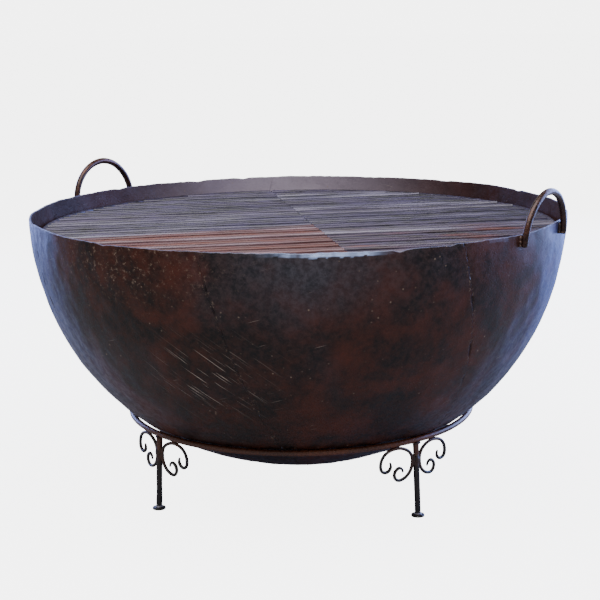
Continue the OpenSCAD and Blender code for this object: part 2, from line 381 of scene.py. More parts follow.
def speck_group():
    """Mask of specks: near the middle of a cell of Size, where a cloud is above what Amount leaves."""
    tree, start, end = new_group(
        "specks", [("Where", VECTOR, None), ("Size", NUMBER, 0.012), ("Amount", NUMBER, 0.3)], ["Mask"])
    scale = sum_of(tree, "DIVIDE", 1.0, start.outputs["Size"])
    cells = add_node(tree, "ShaderNodeTexVoronoi", {"Vector": start.outputs["Where"], "Scale": scale})
    lot = add_node(tree, "ShaderNodeSeparateColor", {0: cells.outputs["Color"]}).outputs[0]
    dots = sum_of(tree, "SUBTRACT", 1.0, spread(tree, cells.outputs["Distance"], 0.05, 0.22))
    chosen = spread(tree, lot, sum_of(tree, "SUBTRACT", 1.0, start.outputs["Amount"]), 1.0)
    kept = spread(tree, cloud(tree, start.outputs["Where"], 0.07), 0.45, 0.65)
    both = sum_of(tree, "MULTIPLY", dots, sum_of(tree, "MULTIPLY", chosen, kept))
    tree.links.new(both, end.inputs["Mask"])
    return tree


GRAIN = grain_group()
SCUFFS = scuff_group()
SPECKS = speck_group()
print("groups:", [group.name for group in bpy.data.node_groups])

# %% [markdown]
# ## Finishes
#
# A finish mixes its colours with the masks and gives them to one Principled shader. The plates are sheet
# steel under brown patina: a fairly smooth skin, painted blue where it is seen edge-on, high up only.

# %% A bare material and the plate finish
def new_material(name, **constants):
    """A material with one Principled shader whose plain numbers are set on its own sockets."""
    material = bpy.data.materials.new(name)
    material.use_nodes = True
    tree = material.node_tree
    shader = tree.nodes["Principled BSDF"]
    for key, value in constants.items():
        shader.inputs[key.replace("_", " ")].default_value = value
    where = add_node(tree, "ShaderNodeTexCoord").outputs["Object"]
    return material, tree, shader, where


def connect(tree, shader, **sockets):
    """Links sockets to the shader's inputs by name."""
    for key, socket in sockets.items():
        tree.links.new(socket, shader.inputs[key.replace("_", " ")])


def bump(tree, height, distance, strength=1.0, normal=None):
    """A normal from a height of 0 to 1 that stands for a distance in metres."""
    inputs = {"Height": height, "Distance": distance, "Strength": strength}
    if normal is not None:
        inputs["Normal"] = normal
    return add_node(tree, "ShaderNodeBump", inputs).outputs[0]


def plate_finish():
    """Hammered sheet: dark brown, red clouds, blue-grey clouds, mottle, streaks, scuffs, specks, a worn rim,
    and painted light: a highlight under the rim at the front, a lit rim edge, light at the back inside, blue
    sheen.
    """
    material, tree, shader, where = new_material("plate patina")
    shader.inputs["Metallic"].default_value = 0.10
    shader.inputs["Specular IOR Level"].default_value = 0.26
    masks = use_group(tree, PATINA, {"Where": where, "Size": 1.0}).outputs
    wall = add_node(tree, "ShaderNodeUVMap", uv_map="wall").outputs[0]
    bare = carried(tree, "bare")
    sooty = carried(tree, "inside")
    bloom_place = carried(tree, "bloom")
    colour = mixed(tree, masks["Mottle"], rgb(0.0040, 0.0020, 0.0018), rgb(0.0290, 0.0115, 0.0082))
    colour = mixed(tree, sum_of(tree, "MULTIPLY", masks["Red"], 0.75), colour, rgb(0.090, 0.0180, 0.0075))
    streaks = sum_of(tree, "MULTIPLY", masks["Streaks"], 0.35)
    colour = mixed(tree, streaks, colour, rgb(0.050, 0.0125, 0.0070))
    # Painted light: blue-grey clouds of the patina, plus a painted highlight under the front rim.
    bloom = sum_of(tree, "MULTIPLY_ADD", masks["Bloom"], 0.25, bloom_place)
    grey = mixed(tree, masks["Mottle"], rgb(0.024, 0.026, 0.035), rgb(0.060, 0.062, 0.080))
    colour = mixed(tree, add_clamped(tree, bloom), colour, grey)
    # Painted light: the inside is dark soot, painted light grey across the back where the front light falls.
    soot_and_painted_light = mixed(tree, bloom_place, rgb(0.024, 0.0085, 0.0070), rgb(0.330, 0.275, 0.340))
    colour = mixed(tree, sum_of(tree, "MULTIPLY", sooty, 0.75), colour, soot_and_painted_light)
    # Painted sheen: high up on the outside the steel turns blue where seen edge-on, for the cool side
    # lights.
    facing = add_node(tree, "ShaderNodeLayerWeight", {"Blend": 0.5}).outputs["Facing"]
    height = add_node(tree, "ShaderNodeSeparateXYZ", {0: where}).outputs[2]
    upper = sum_of(tree, "SUBTRACT", spread(tree, height, 0.16, 0.42), sooty)
    painted_sheen = sum_of(tree, "MULTIPLY", spread(tree, facing, 0.54, 0.96, 0.0, 0.9), upper)
    colour = mixed(tree, add_clamped(tree, painted_sheen), colour, rgb(0.085, 0.120, 0.340))
    long_scuffs = use_group(tree, SCUFFS, {"Where": wall, "Angle": 0.62, "Length": 0.085, "Width": 0.0023,
                                           "Amount": 0.74}).outputs[0]
    scuffed = carried(tree, "scuffed")
    fine_scuffs = use_group(tree, SCUFFS, {"Where": wall, "Angle": -0.25, "Length": 0.06, "Width": 0.0020,
                                           "Amount": 0.42}).outputs[0]
    marks = sum_of(tree, "MULTIPLY_ADD", long_scuffs, scuffed, sum_of(tree, "MULTIPLY", fine_scuffs, 0.5))
    colour = mixed(tree, add_clamped(tree, marks), colour, rgb(0.40, 0.32, 0.27))
    dots = use_group(tree, SPECKS, {"Where": where, "Size": 0.010, "Amount": 0.40}).outputs[0]
    pitted = carried(tree, "pitted")
    crumbs = spread(tree, cloud(tree, where, 0.007, 6.0, 0.8), 0.55, 0.66)
    dots = sum_of(tree, "MULTIPLY_ADD", crumbs, pitted, dots)
    colour = mixed(tree, add_clamped(tree, dots), colour, rgb(0.24, 0.17, 0.125))
    gap = carried(tree, "gap")
    colour = mixed(tree, gap, colour, rgb(0.0015, 0.0010, 0.0010))
    # Painted highlight: the worn rim and the rim's top edge are painted light blue-grey, as where light
    # catches them.
    colour = mixed(tree, bare, colour, rgb(0.25, 0.32, 0.52))
    height = use_group(tree, GRAIN, {"Where": where, "Size": 1.0}).outputs[0]
    rough = spread(tree, masks["Mottle"], 0.0, 1.0, 0.34, 0.50)
    connect(tree, shader, Base_Color=colour, Roughness=rough, Normal=bump(tree, height, 0.0016, 0.50))
    return material


def add_clamped(tree, value):
    """The value held between 0 and 1."""
    return add_node(tree, "ShaderNodeClamp", {0: value}).outputs[0]


PLATE_FINISH = plate_finish()
print("finish:", PLATE_FINISH.name, "with", len(PLATE_FINISH.node_tree.nodes), "nodes")

# %% [markdown]
# The bars are drawn round steel. The handles and the stand keep their black scale, rubbed to rusty brown,
# and the grate has lost it to the fire: it is grey-violet with orange rust and some painted highlights.

# %% The bar finishes and the weld finish
def bar_finish(name, dark, light, rust, rust_share, rough_low, rough_high, size=1.0, metal=0.3, along=None):
    """Round bar: a dark and a light scale by mottle, and rust by the red mask and the rust attribute. along
    is the turn of straight bars along which the pattern is drawn out."""
    material, tree, shader, where = new_material(name, Metallic=metal)
    if along is not None:
        turned = add_node(tree, "ShaderNodeVectorRotate", {"Vector": where, "Angle": -along},
                          rotation_type="Z_AXIS").outputs[0]
        where = stretched(tree, turned, (0.10, 1, 1))
    masks = use_group(tree, PATINA, {"Where": where, "Size": size}).outputs
    rusty = carried(tree, "rust")
    bare = carried(tree, "bare")
    colour = mixed(tree, masks["Mottle"], dark, light)
    amount = sum_of(tree, "MULTIPLY_ADD", masks["Red"], rust_share, rusty)
    amount = sum_of(tree, "MULTIPLY", amount, spread(tree, masks["Mottle"], 0.0, 1.0, 0.6, 1.0))
    colour = mixed(tree, add_clamped(tree, amount), colour, rust)
    # Painted highlight: where a bar carries it, the colour turns light grey-violet: bare weld in spots, and
    # painted highlights on the grate bars and the tops of the feet.
    colour = mixed(tree, bare, colour, rgb(0.45, 0.42, 0.54))
    height = use_group(tree, GRAIN, {"Where": where, "Size": 1.6 * size}).outputs[0]
    rough = spread(tree, masks["Mottle"], 0.0, 1.0, rough_low, rough_high)
    connect(tree, shader, Base_Color=colour, Roughness=rough, Normal=bump(tree, height, 0.0010, 0.6))
    return material


HANDLE_FINISH = bar_finish("handle scale", rgb(0.010, 0.0045, 0.004), rgb(0.048, 0.019, 0.014),
                           rgb(0.13, 0.038, 0.015), 0.4, 0.16, 0.32, 2.5, metal=0.5)
BAR_TURN = math.radians(12)
GRATE_FINISH = bar_finish("grate scale", rgb(0.007, 0.006, 0.011), rgb(0.042, 0.033, 0.076),
                          rgb(0.085, 0.018, 0.010), 0.06, 0.28, 0.46, 1.6, along=BAR_TURN)
STAND_FINISH = bar_finish("stand scale", rgb(0.0035, 0.003, 0.0035), rgb(0.0150, 0.0105, 0.0110),
                          rgb(0.13, 0.034, 0.011), 0.10, 0.26, 0.42, 2.5, metal=0.1)
WELD_FINISH = bar_finish("weld scale", rgb(0.012, 0.007, 0.006), rgb(0.060, 0.036, 0.028),
                         rgb(0.12, 0.035, 0.014), 0.45, 0.28, 0.45, 3.5)
print("finishes:", [material.name for material in bpy.data.materials if material.users == 0])

# %% [markdown]
# ## Putting a piece in place
#
# Each new piece gets its finish, the slot it takes it from, the body it moves with, and the plain nodes that
# it stands for.

# %% Finish, slot, body and nodes of a piece
FINISHES = {"bowl_plate": PLATE_FINISH, "handle_bar": HANDLE_FINISH, "grate_bar": GRATE_FINISH,
            "stand_bar": STAND_FINISH}


def place(piece, body, slot, nodes=(), finish=None):
    """The piece takes a finish and slot, rides on a body and stands for some nodes."""
    piece.data.materials.append(finish or FINISHES[slot])
    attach(piece, body)
    if nodes:
        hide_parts(*nodes)
    return piece


print("slots:", sorted(FINISHES))

# %% [markdown]
# ## The bowl's wall
#
# The wall seen from the side is a rounded curve: the radius to one power plus the drop to another is
# constant, like an ellipse that is fuller at the side. Turned round the axis it gives the whole bowl. A
# lathe could spin it, but the plates are cut by leaning seams, so each point is worked out from its turn
# round the bowl and its angle down the curve.

# %% The wall's curve, its directions and the seams
def wall_curve(angle, out=0.0):
    """Radius and height of the wall at an angle from 0 at the rim to a quarter turn at the bottom, moved
    out of the wall by a distance along the slope of the curve's own formula."""
    radius = BOWL_RADIUS * np.cos(angle) ** (2 / SIDE_POWER)
    drop = DEPTH * np.sin(angle) ** (2 / BOTTOM_POWER)
    slope_r = SIDE_POWER * (radius / BOWL_RADIUS) ** (SIDE_POWER - 1) / BOWL_RADIUS
    slope_z = -BOTTOM_POWER * (drop / DEPTH) ** (BOTTOM_POWER - 1) / DEPTH
    length = np.hypot(slope_r, slope_z)
    return radius + out * slope_r / length, RIM_Z - drop + out * slope_z / length


def angle_at_drop(drop):
    """The angle of the curve at a drop below the rim: the drop's power undone, then the arc sine."""
    return np.arcsin(np.clip(drop / DEPTH, 0, 1) ** (BOTTOM_POWER / 2))


def radius_at_height(z):
    """The outside's radius at a height."""
    return wall_curve(angle_at_drop(RIM_Z - z))[0]


def around(turn, radius, z):
    """The point at a turn from the front, anticlockwise from above, a radius and a height."""
    turn, radius, z = np.broadcast_arrays(turn, radius, z)
    return np.stack([radius * np.sin(turn), -radius * np.cos(turn), z], -1)


def seam_shift(radius, z):
    """How far round a leaning seam is from its own turn, at a radius and a height."""
    return np.arcsin(np.clip(-math.tan(SEAM_LEAN) * (z - SEAM_CROSS_Z) / radius, -1, 1))


BASE_ANGLE = math.acos((BASE_RADIUS / BOWL_RADIUS) ** (SIDE_POWER / 2))
print("side ends at", round(math.degrees(BASE_ANGLE), 1), "degrees of the curve")

# %% [markdown]
# ### How the sheet is dented
#
# The plates were beaten over a form by hand. Three sizes of waves give the swells and flats, and hammer
# marks a few centimetres across lie over them. The same dents show inside, so both faces use one function
# of the place. The rim isn't true either: it rises and falls a little and has nicks.

# %% Dents of the sheet and the uneven rim
def sheet_dents(points, turn):
    """How far the sheet stands out, in metres: waves of 0.3, 0.11 and 0.04 m, and hammer marks."""
    u, v = turn * BOWL_RADIUS, points[..., 2]
    swell = 0.0011 * waves(points, 0.30, 11) + 0.0006 * waves(points, 0.11, 12)
    lumps = 0.00022 * waves(points, 0.04, 13)
    return swell + lumps + 0.00055 * hammer_marks(u + 9, v + 9, 0.034, 14)


NICKS = [(-38, 1.2, 0.0022), (20.5, 1.0, 0.0030), (31, 0.8, 0.0016), (52, 1.4, 0.0014), (-71, 0.9, 0.0018),
         (118, 1.0, 0.0024), (143, 1.6, 0.0020), (196, 1.1, 0.0026), (231, 0.8, 0.0018), (-152, 1.3, 0.002)]


def from_front(turn, place_deg=0):
    """Degrees round from the front, or from a place, between -180 and 180."""
    return (np.degrees(turn) - place_deg + 180) % 360 - 180


def rim_height(turn):
    """How far the rim stands above its true height: two slow waves, a ragged one, and narrow nicks."""
    ring = around(turn, BOWL_RADIUS, 0.0)
    height = 0.0009 * waves(ring, 0.35, 21) + 0.0004 * waves(ring, 0.05, 22)
    height = height + 0.00025 * waves(ring, 0.012, 23)
    for place_deg, wide_deg, deep in NICKS:
        away = from_front(turn, place_deg)
        height = height - deep * np.exp(-(away / wide_deg) ** 2)
    return height


def worn_lip_and_highlight(turn):
    """0 to 1: how far the outer rim is beaten over and worn, with a painted highlight, most at the front."""
    degrees = from_front(turn)
    front = ramp(-7, 2, degrees) * (1 - ramp(13, 20, degrees))
    ring = around(turn, BOWL_RADIUS, 0.0)
    ragged = 0.75 + 0.3 * waves(ring, 0.03, 24) + 0.15 * waves(ring, 0.011, 25)
    return np.clip(front * ragged + 0.12 * (waves(ring, 0.09, 26) > 0.8), 0, 1)


print("rim rises and falls by", round(float(np.ptp(rim_height(np.linspace(0, 6, 500)))), 4))

# %% [markdown]
# ### A side plate
#
# A plate is a closed shell. Its profile is a loop: up the outside from the base seam, over the worn edge of
# the rim, and down the inside. The loop is carried from one seam to the next, and the two seam faces close
# it. The edges at the seams dip a little, where the weld bead lies.

# %% The plates
def plate_rows():
    """Drops below the rim of the outside's rows: close together under the rim and wider further down."""
    near = np.array([0.0006, 0.0014, 0.0024, 0.0036, 0.005, 0.0068, 0.009, 0.012])
    far = np.linspace(angle_at_drop(0.016), BASE_ANGLE, 92)
    return np.concatenate([angle_at_drop(near), far])


def plate_columns(count=170):
    """Shares of a plate's width: even steps, and three columns close to each seam."""
    near = np.array([0.0004, 0.0010, 0.0018]) / (BOWL_RADIUS * PLATE_TURN)
    return np.sort(np.concatenate([np.linspace(0, 1, count - 2 * len(near)), near, 1 - near]))


def seam_gaps(points):
    """0 to 1 along the seams: where the bead was left short and a dark gap stays open."""
    return ramp(0.55, 1.15, waves(points, 0.022, 27))


def side_plate(number):
    """The shell of a plate between two seams, and its masks for the finish."""
    start = SEAM_TURN + (number - 1) * PLATE_TURN
    across = plate_columns()[None, :]
    columns = across.size
    angles = plate_rows()[:, None]
    rows = len(angles)
    faces = []
    for out in (0.0, -PLATE):
        radius, z = wall_curve(angles, out)
        turn = start + across * PLATE_TURN + seam_shift(radius, z)
        points = around(turn, radius, z)
        dents = sheet_dents(points, turn)
        edge = np.minimum(across, 1 - across) * PLATE_TURN * radius
        sink = (0.0001 + 0.0016 * seam_gaps(points)) * np.exp(-(edge / 0.0016) ** 2)
        lip = worn_lip_and_highlight(turn)
        drop = RIM_Z - z
        bevel = lip * np.clip(1 - drop / 0.006, 0, 1) * 0.0026
        burr = lip * np.exp(-((drop - 0.0058) / 0.0012) ** 2) * 0.0007
        if out == 0.0:
            moved = dents - sink - bevel + burr
        else:
            moved = dents
        radius_moved, z_moved = wall_curve(angles, out + moved)
        z_moved = z_moved + rim_height(turn) * np.exp(-drop / 0.02)
        open_gap = (0.35 + 0.65 * seam_gaps(points)) * np.exp(-(edge / 0.0018) ** 2)
        faces.append((around(turn, radius_moved, z_moved), turn, drop, lip, open_gap))
    (outer, turn, drop, lip, gap), (inner, inner_turn, inner_drop, inner_lip, inner_gap) = faces
    lip_points = rounded_edge(outer[0], inner[0])
    loop = np.concatenate([outer[::-1], lip_points, inner], 0)
    count = len(loop)
    quads = grid_quads(count, columns, round_rows=True)
    ends = seam_faces(rows, len(lip_points), columns)
    # The bare rim is also a painted highlight: its top edge a little light all round, the worn front much
    # more.
    bare_out = (lip * (drop < 0.0060 + 0.001 * waves(outer, 0.012, 31)))[::-1]
    edge_bare = 0.12 + 0.88 * lip[:1]
    bare = np.concatenate([bare_out, np.repeat(edge_bare, len(lip_points), 0), 0 * inner_drop * inner_lip])
    inside = np.concatenate([np.zeros(outer.shape[:2]), np.full((len(lip_points), columns), 0.3),
                             np.ones(inner.shape[:2])])
    turns = np.concatenate([turn[::-1], np.repeat(turn[:1], len(lip_points), 0), inner_turn])
    piece = make_piece(f"plate_{number}", loop.reshape(-1, 3), np.concatenate([quads, ends]),
                       flat=len(ends), bare=bare, inside=inside,
                       bloom=np.where(inside < 0.5, front_bloom(turns, loop[..., 2]), back_bloom(turns)),
                       scuffed=scuffed_place(turns, loop[..., 2]),
                       gap=np.concatenate([gap[::-1], 0 * lip_points[..., 0], 0.4 * inner_gap]),
                       pitted=pitted_place(turns, loop[..., 2], start) * (1 - inside))
    add_wall_map(piece, turns * BOWL_RADIUS, loop[..., 2])
    return piece


def rounded_edge(outer, inner, steps=6):
    """Rows of points over the rim's edge: from outer to inner along half an ellipse 0.8 mm high."""
    share = np.linspace(0, 1, steps + 2)[1:-1, None, None]
    top = 0.0008 * np.sin(math.pi * share) * np.array([0, 0, 1.0])
    return outer + (inner - outer) * (1 - np.cos(math.pi * share)) / 2 + top


def seam_faces(rows, lip_rows, columns):
    """Faces that close the two seam ends: each joins an outside row to the inside row across from it."""
    count = 2 * rows + lip_rows
    i = np.arange((count - 1) // 2)
    first = np.stack([i, i + 1, count - 2 - i, count - 1 - i], -1) * columns
    first = first[first[:, 1] != first[:, 2]]
    return np.concatenate([first, first[:, ::-1] + columns - 1])


def front_bloom(turn, z):
    """Where the painted highlight lies: blue-grey under the rim at the front, fading down and aside."""
    degrees = from_front(turn)
    side = np.exp(-((degrees - 6) / 17) ** 2)
    down = 1 - ramp(0.01, 0.15, RIM_Z - z)
    return 0.62 * side * down


def back_bloom(turn):
    """Painted light: the inside of the wall light grey across the back, fading to brown at either side."""
    degrees = np.degrees(turn) % 360
    return np.exp(-((degrees - 186) / 27) ** 2)


def scuffed_place(turn, z):
    """Where the long scuffs lie: low on the left of the front, and a fainter patch on the far side."""
    degrees = from_front(turn)
    left = np.exp(-((degrees + 18) / 10) ** 2 - ((z - 0.295) / 0.055) ** 2)
    back = np.exp(-((degrees - 140) / 14) ** 2 - ((z - 0.33) / 0.06) ** 2)
    return np.clip(1.3 * left + 0.8 * back, 0, 1)


def pitted_place(turn, z, start):
    """Where crumbs of scale cling: beside the plate's seams, and under the rim on the left of the front."""
    radius = radius_at_height(z)
    past = (turn - seam_shift(radius, z) - start) * radius
    to_seam = np.minimum(np.abs(past), np.abs(PLATE_TURN * radius - past))
    seams = 0.75 * np.exp(-(to_seam / 0.005) ** 2)
    degrees = from_front(turn)
    left = 0.8 * np.exp(-((degrees + 36) / 20) ** 2) * (1 - ramp(0.02, 0.13, RIM_Z - z))
    return np.clip(seams + left, 0, 1)


def add_wall_map(piece, u, v):
    """A map named wall: the distance round the bowl and the height, both in metres."""
    mesh = piece.data
    layer = mesh.uv_layers.new(name="wall")
    corner = np.zeros(len(mesh.loops), np.int32)
    mesh.loops.foreach_get("vertex_index", corner)
    flat = np.stack([np.ravel(u), np.ravel(v)], -1)[corner]
    layer.data.foreach_set("uv", flat.astype(np.float32).ravel())


for number in range(1, PLATES + 1):
    plate = place(side_plate(number), "bowl", "bowl_plate", [f"side_plate_{number}"])
print("a plate has", len(plate.data.polygons), "faces")

# %% [markdown]
# ### The dished bottom
#
# The bottom is one dished plate. It is the same curve with the angle running on to a quarter turn, as rings
# round the axis, and a single point closes each face at the pole.

# %% The bottom plate
def bottom_plate(columns=160, rows=26):
    """The shell of the dished plate: rings of the outside and the inside, closed by a fan at each pole."""
    angles = np.linspace(BASE_ANGLE, math.pi / 2 * 0.985, rows)[:, None]
    turn = np.linspace(0, 2 * math.pi, columns, endpoint=False)[None, :]
    sides = []
    for out in (0.0, -PLATE):
        radius, z = wall_curve(angles, out)
        points = around(turn, radius, z)
        moved = sheet_dents(points, turn) * ramp(0.0, 0.06, radius)
        radius, z = wall_curve(angles, out + moved)
        sides.append(around(turn, radius, z))
    outer, inner = sides
    loop = np.concatenate([outer[::-1], inner], 0)
    poles = np.array([[0, 0, BOTTOM_Z], [0, 0, BOTTOM_Z + PLATE]])
    points = np.concatenate([loop.reshape(-1, 3), poles])
    quads = grid_quads(2 * rows, columns, round_columns=True)
    fans = pole_fans(columns, (2 * rows - 1) * columns, len(points) - 2)
    inside = np.concatenate([np.zeros(outer.shape[:2]).ravel(), np.ones(inner.shape[:2]).ravel(), [0, 1]])
    piece = make_piece("bottom", points, quads, fans, inside=inside)
    add_wall_map(piece, points[:, 0], points[:, 1])
    return piece


bottom = place(bottom_plate(), "bowl", "bowl_plate", ["base_plate"])
print("the bottom has", len(bottom.data.polygons), "faces")

# %% [markdown]
# ## Bars
#
# Everything else on the pit is round bar. A bar is a circle carried along a path, so one function sweeps
# all of them: at each point of the path a ring of points stands square to it, and each end is closed by a
# fan. The ring may change its radius from point to point, which gives drawn-out tips, weld ripples and
# the small flats of forging.

# %% Sweeping a bar along a path
CLOSE_RING = 0.0006


def sweep(path, normal, radius, sides=14, closed=False, ends=0.25):
    """Rings round a path: path (n, 3) lies about square to the normal, radius is a number or an array of
    rings or of rings by sides. An open bar gets a small bevel at each end, a share of its radius, and a
    ring close behind it, so that the bevel's shading stays at the end."""
    path = np.asarray(path, float)
    count = len(path)
    before, after = (np.roll(path, 1, 0), np.roll(path, -1, 0)) if closed else (
        np.vstack([path[:1], path[:-1]]), np.vstack([path[1:], path[-1:]]))
    along = unit(after - before)
    side = unit(np.cross(along, np.broadcast_to(normal, along.shape)))
    up = np.cross(side, along)
    radius = np.broadcast_to(np.asarray(radius, float).reshape(-1, 1) if np.ndim(radius) < 2 else radius,
                             (count, sides)).copy()
    if not closed:
        bevel = ends * radius[[0, -1]]
        first, last = along[:1] * bevel[0, 0], along[-1:] * bevel[1, 0]
        path = np.concatenate([
            path[:1], path[:1] + first, path[:1] + first + along[:1] * CLOSE_RING, path[1:-1],
            path[-1:] - last - along[-1:] * CLOSE_RING, path[-1:] - last, path[-1:]])
        side, up, radius = (np.concatenate([a[:1], a[:1], a, a[-1:], a[-1:]]) for a in (side, up, radius))
        radius[[0, -1]] *= 1 - ends
    angle = 2 * math.pi * np.arange(sides) / sides
    rings = (path[:, None] + radius[..., None] * (np.cos(angle)[:, None] * side[:, None]
                                                  + np.sin(angle)[:, None] * up[:, None]))
    quads = grid_quads(len(path), sides, round_rows=closed, round_columns=True)
    points = rings.reshape(-1, 3)
    triangles = np.zeros((0, 3), int)
    if not closed:
        points = np.vstack([points, path[:1], path[-1:]])
        triangles = pole_fans(sides, (len(path) - 1) * sides, len(points) - 2)
    return points, quads, triangles


def on_rings(values, sides):
    """Values along a path as one for each point of its swept bar: the end rings and the two end points take
    the values of the path's ends."""
    padded = np.concatenate([values[:1], values[:1], values, values[-1:], values[-1:]])
    return np.append(padded.repeat(sides), [values[0], values[-1]])


def unit(vectors):
    """Vectors scaled to a length of one."""
    return vectors / np.maximum(np.linalg.norm(vectors, axis=-1, keepdims=True), 1e-12)


def joined(parts):
    """Several (points, quads, triangles) as one set."""
    points, quads, triangles = [], [], []
    start = 0
    for part_points, part_quads, part_triangles in parts:
        points.append(part_points)
        quads.append(part_quads + start)
        triangles.append(part_triangles + start)
        start += len(part_points)
    return np.concatenate(points), np.concatenate(quads), np.concatenate(triangles)


def skin(path, sides):
    """Places on a bar's skin for its unevenness: the path's point, and a small circle in two more axes."""
    angle = 2 * math.pi * np.arange(sides) / sides
    circle = 0.02 * np.stack([np.cos(angle), np.sin(angle)], -1)
    return np.concatenate([np.repeat(path[:, None], sides, 1), circle[None].repeat(len(path), 0)], -1)


def forged(path, radius, sides, seed, flats=0.03):
    """A bar's radius at each ring and side: the plain one, a few per cent uneven as the hammer left it."""
    places = skin(np.asarray(path), sides)
    return radius * (1 + flats * waves(places, 0.035, seed) + 0.5 * flats * waves(places, 0.012, seed + 1))


print("a short bar has", len(sweep([[0, 0, 0], [0, 0, 1], [0, 0, 2]], [1, 0, 0], 0.1)[1]), "faces")

# %% [markdown]
# ### Weld seams
#
# The plates are joined by weld beads that were mostly ground flush. What is left is a low, broken line: the
# bead is a thin sweep along the seam, sunk into the plates, and its radius rises and falls, so that it shows
# in patches. Another bead runs round the bottom plate.

# %% Weld beads of the bowl
def seam_bead(number, steps=260):
    """A bead along a seam on the outside, sunk so that only its uneven top shows."""
    angles = np.linspace(angle_at_drop(0.004), BASE_ANGLE, steps)
    radius, z = wall_curve(angles)
    turn = SEAM_TURN + number * PLATE_TURN + seam_shift(radius, z)
    path = around(turn, radius, z)
    radius, z = wall_curve(angles, sheet_dents(path, turn) - 0.0011)
    size = 0.0011 + 0.00025 * waves(path, 0.03, 41 + number) + 0.00025 * waves(path, 0.008, 61 + number)
    size = size * (1 - 0.6 * seam_gaps(path))
    bare = np.clip(waves(path, 0.012, 71 + number) - 0.9, 0, 1) * 0.9
    path = around(turn, radius, z)
    points, quads, triangles = sweep(path, around(turn, 1.0, 0.0), np.maximum(size, 0.0004), 10)
    return points, quads, triangles, on_rings(bare, 10)


for number in range(PLATES):
    points, quads, triangles, bare = seam_bead(number)
    place(make_piece(f"seam_{number + 1}", points, quads, triangles, bare=bare), "bowl", "bowl_plate")

angles = np.linspace(0, 2 * math.pi, 500, endpoint=False)
bead_radius, bead_z = wall_curve(BASE_ANGLE, -0.0010)
path = around(angles, bead_radius, bead_z)
bead_size = 0.0022 + 0.0004 * waves(path, 0.014, 81)
base_bead = make_piece("base_seam", *sweep(path, np.array([0, 0, 1.0]), bead_size, 10, closed=True))
place(base_bead, "bowl", "bowl_plate", finish=WELD_FINISH)
print("beads:", PLATES + 1)

# %% [markdown]
# ## Handles
#
# A handle is a length of bar bent into a half circle and welded to the outside of the wall by its two feet.
# The path is that circle in a plane just outside the wall, which leans out a little. A fat ripple of weld
# runs down beside each foot.

# %% The handles and their welds
HANDLE_BAR = 0.006
HANDLE_SPAN = 0.162
HANDLE_RISE = 0.084
HANDLE_FOOT_Z = RIM_Z - 0.022
WELD_BITE = 0.0005
HANDLE_REACH = radius_at_height(HANDLE_FOOT_Z) + HANDLE_BAR - WELD_BITE
HANDLE_PLANE = math.sqrt(HANDLE_REACH ** 2 - (HANDLE_SPAN / 2) ** 2)
HANDLES = {"left": (-124, 4), "right": (59, 5)}


def handle_point(side, along, height):
    """A point of a handle's plane: along the foot line and up from it, turned and leaned into place."""
    turn, lean = (math.radians(value) for value in HANDLES[side])
    out = HANDLE_PLANE + height * math.sin(lean)
    flat = np.stack([along * math.cos(turn) + out * math.sin(turn),
                     along * math.sin(turn) - out * math.cos(turn)], -1)
    return np.concatenate([flat, (HANDLE_FOOT_Z + height * math.cos(lean))[:, None]], -1)


def handle(side, steps=120, sides=20):
    """The bent bar of a handle: the circle through its two feet and its top."""
    circle = ((HANDLE_SPAN / 2) ** 2 + HANDLE_RISE ** 2) / (2 * HANDLE_RISE)
    foot = math.asin((circle - HANDLE_RISE) / circle)
    bend = np.linspace(foot, math.pi - foot, steps)
    path = handle_point(side, circle * np.cos(bend), HANDLE_RISE - circle + circle * np.sin(bend))
    turn = math.radians(HANDLES[side][0])
    radius = forged(path, HANDLE_BAR, sides, 91 if side == "left" else 95, 0.025)
    points, quads, triangles = sweep(path, [math.sin(turn), -math.cos(turn), 0], radius, sides)
    rubbed = np.exp(-((bend - math.pi * 0.5) / 0.5) ** 2) * 0.25
    return make_piece(f"handle_bar_{side}", points, quads, triangles, rust=on_rings(rubbed, sides))


def foot_weld(side, foot_sign):
    """Two beads down a foot, one in each corner between the bar and the wall."""
    parts = []
    for corner in (-1, 1):
        height = np.linspace(0.0005, 0.0195, 40)
        along = foot_sign * HANDLE_SPAN / 2 + corner * 0.0052 + 0 * height
        path = handle_point(side, along, height)
        outward = unit(path * [1, 1, 0])
        wall = radius_at_height(path[:, 2])[:, None] * outward
        path = wall * [1, 1, 0] + outward * 0.0006 + path * [0, 0, 1]
        size = 0.0026 + 0.0005 * np.sin(height / 0.0011) + 0.0004 * waves(path, 0.008, 97 + corner)
        parts.append(sweep(path, outward, size, 10, ends=0.5))
    return parts


for side in HANDLES:
    place(handle(side), "bowl", "handle_bar", [f"handle_{side}"])
    welds = make_piece(f"handle_welds_{side}", *joined(foot_weld(side, -1) + foot_weld(side, 1)))
    place(welds, "bowl", "handle_bar", finish=WELD_FINISH)
print("handles:", sorted(HANDLES))

# %% [markdown]
# ## The grate
#
# Each half is a half-moon of bar filled with straight bars, all turned a little from the front, with two
# bars under them that hold them together. The bars were cut by hand and have warped in the heat, so each is
# a path of its own, a little high or low and not quite straight. Rust lies bar by bar, so it is worked out
# as a number at each point.

# %% Places of the grate
BAR = 0.005
BARS_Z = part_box("grate_left_bars")[1].z - BAR
UNDER_Z = middle("grate_left_cross_bar").z
GRATE_ROOM = 0.010
GRATE_RADIUS = radius_at_height(BARS_Z) - PLATE - GRATE_ROOM - BAR
PITCH = 0.025
END_REACH = 0.00085
GAP_PLACE = 0.024
GAP = 0.002
CROSS_PLACE = 0.250
BARS_A_SIDE = 18


def on_grate(u, v, z):
    """A point along the bars and across them, turned into place."""
    u, v, z = np.broadcast_arrays(u, v, z)
    return np.stack([u * math.cos(BAR_TURN) - v * math.sin(BAR_TURN),
                     u * math.sin(BAR_TURN) + v * math.cos(BAR_TURN), z], -1)


print("bars at", round(BARS_Z, 4), "in a rim bar of radius", round(float(GRATE_RADIUS), 4))

